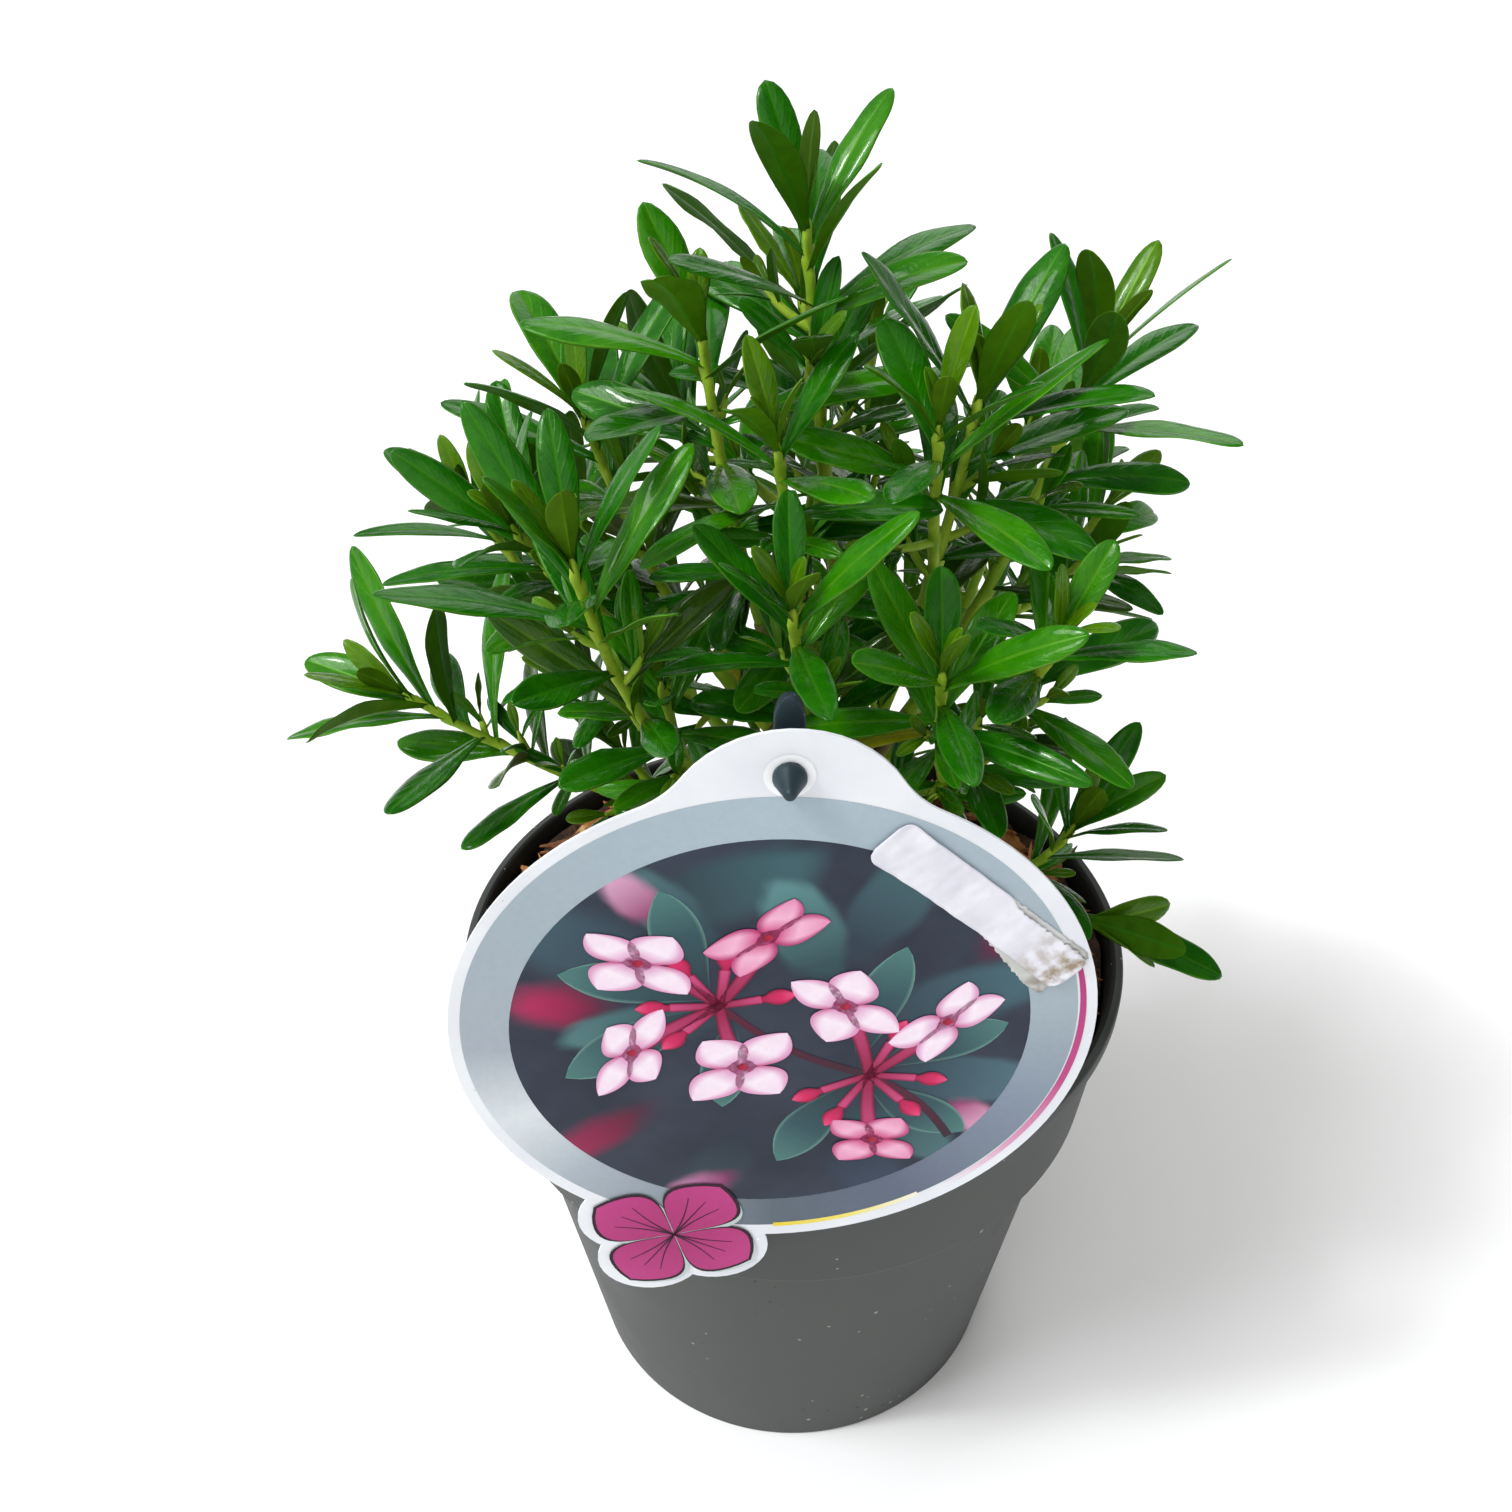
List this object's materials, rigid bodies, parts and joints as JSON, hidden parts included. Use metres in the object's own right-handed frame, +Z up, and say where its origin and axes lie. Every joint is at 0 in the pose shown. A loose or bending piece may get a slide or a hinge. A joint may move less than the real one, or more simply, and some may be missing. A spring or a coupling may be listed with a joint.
{
  "type": "potted daphne shrub",
  "caption": "Young evergreen daphne shrub with leathery leaves in a round grey nursery pot, with a round picture label on a peg at the front.",
  "frame": {"origin": "centre of the pot's flat underside", "axes": "+Z up along the plant, -Y towards the front, where the label hangs"},
  "size_m": [0.1717, 0.1727, 0.2614],
  "materials": {
    "pot": "matt dark grey moulded polypropylene, a little dusty and scuffed",
    "compost": "coarse bark compost, red-brown chips in dark fines",
    "old_bark": "thin brown bark with fine cracks and leaf scars",
    "young_bark": "smooth yellow-green young bark, browner towards the trunk",
    "foliage": "glossy leathery evergreen leaves, deep green above and paler matt green below",
    "label": "thin white printed plastic with a semi-gloss face",
    "paper_strip": "blank white paper sticker, slightly creased",
    "holder": "dark green-grey moulded plastic"
  },
  "bodies": {
    "root": {"bough_back": "young_bark", "bough_back_left": "young_bark", "bough_back_right": "young_bark", "bough_back_top": "young_bark", "bough_centre": "young_bark", "bough_crown_left": "young_bark", "bough_crown_right": "young_bark", "bough_far_left": "young_bark", "bough_far_right": "young_bark", "bough_front": "young_bark", "bough_front_left": "young_bark", "bough_front_right": "young_bark", "bough_left": "young_bark", "bough_right_upper": "young_bark", "bough_top": "young_bark", "compost": "compost", "label": "label", "label_holder": "holder", "label_strip": "paper_strip", "mass_back": "foliage", "mass_back_left": "foliage", "mass_back_right": "foliage", "mass_back_top": "foliage", "mass_centre": "foliage", "mass_crown_left": "foliage", "mass_crown_right": "foliage", "mass_far_left": "foliage", "mass_far_right": "foliage", "mass_front": "foliage", "mass_front_left": "foliage", "mass_front_right": "foliage", "mass_left": "foliage", "mass_right_upper": "foliage", "mass_top": "foliage", "pot": "pot", "trunk": "old_bark"}
  },
  "joints": []
}
